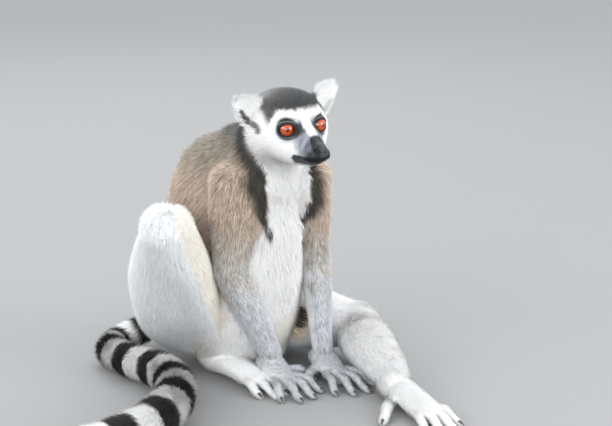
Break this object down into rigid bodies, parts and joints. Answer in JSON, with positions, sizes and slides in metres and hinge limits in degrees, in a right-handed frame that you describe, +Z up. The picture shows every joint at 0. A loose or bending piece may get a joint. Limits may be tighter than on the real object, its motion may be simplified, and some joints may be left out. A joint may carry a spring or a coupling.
{
  "type": "ring-tailed lemur",
  "caption": "Life-size sitting ring-tailed lemur, one knee drawn up, hands down between the feet, head turned to its right, ringed tail laid on the floor.",
  "frame": {"origin": "on the flat under the rump, where the animal sits on the floor", "axes": "+Z up, the animal's chest faces -Y, +X is the animal's left side"},
  "size_m": [0.4638, 0.3568, 0.2587],
  "materials": {
    "white_coat": "soft white to cream fur",
    "grey_coat": "pale grey fur flecked with darker grey",
    "brown_coat": "grey-brown fur with a rufous cast",
    "dark_coat": "charcoal fur",
    "ringed_coat": "long fur in black and white rings",
    "bare_skin": "fine-grained black skin, slightly damp on the nose",
    "eye": "wet orange eye"
  },
  "bodies": {
    "root": {"eye_left": "eye", "eye_right": "eye", "nose": "bare_skin", "head": "white_coat", "jaw": "white_coat", "ear_left": "white_coat", "ear_right": "white_coat", "belly": "white_coat", "foot_left": "white_coat", "foot_right": "white_coat", "shank_left": "white_coat", "shank_right": "white_coat", "hand_left": "grey_coat", "hand_right": "grey_coat", "forearm_left": "grey_coat", "forearm_right": "grey_coat", "thigh_left": "grey_coat", "thigh_right": "grey_coat", "upper_arm_left": "brown_coat", "upper_arm_right": "brown_coat", "chest": "brown_coat", "rump": "brown_coat", "neck": "dark_coat", "tail_1": "ringed_coat", "tail_2": "ringed_coat", "tail_3": "ringed_coat", "tail_4": "ringed_coat", "tail_5": "ringed_coat", "tail_6": "ringed_coat"}
  },
  "joints": []
}
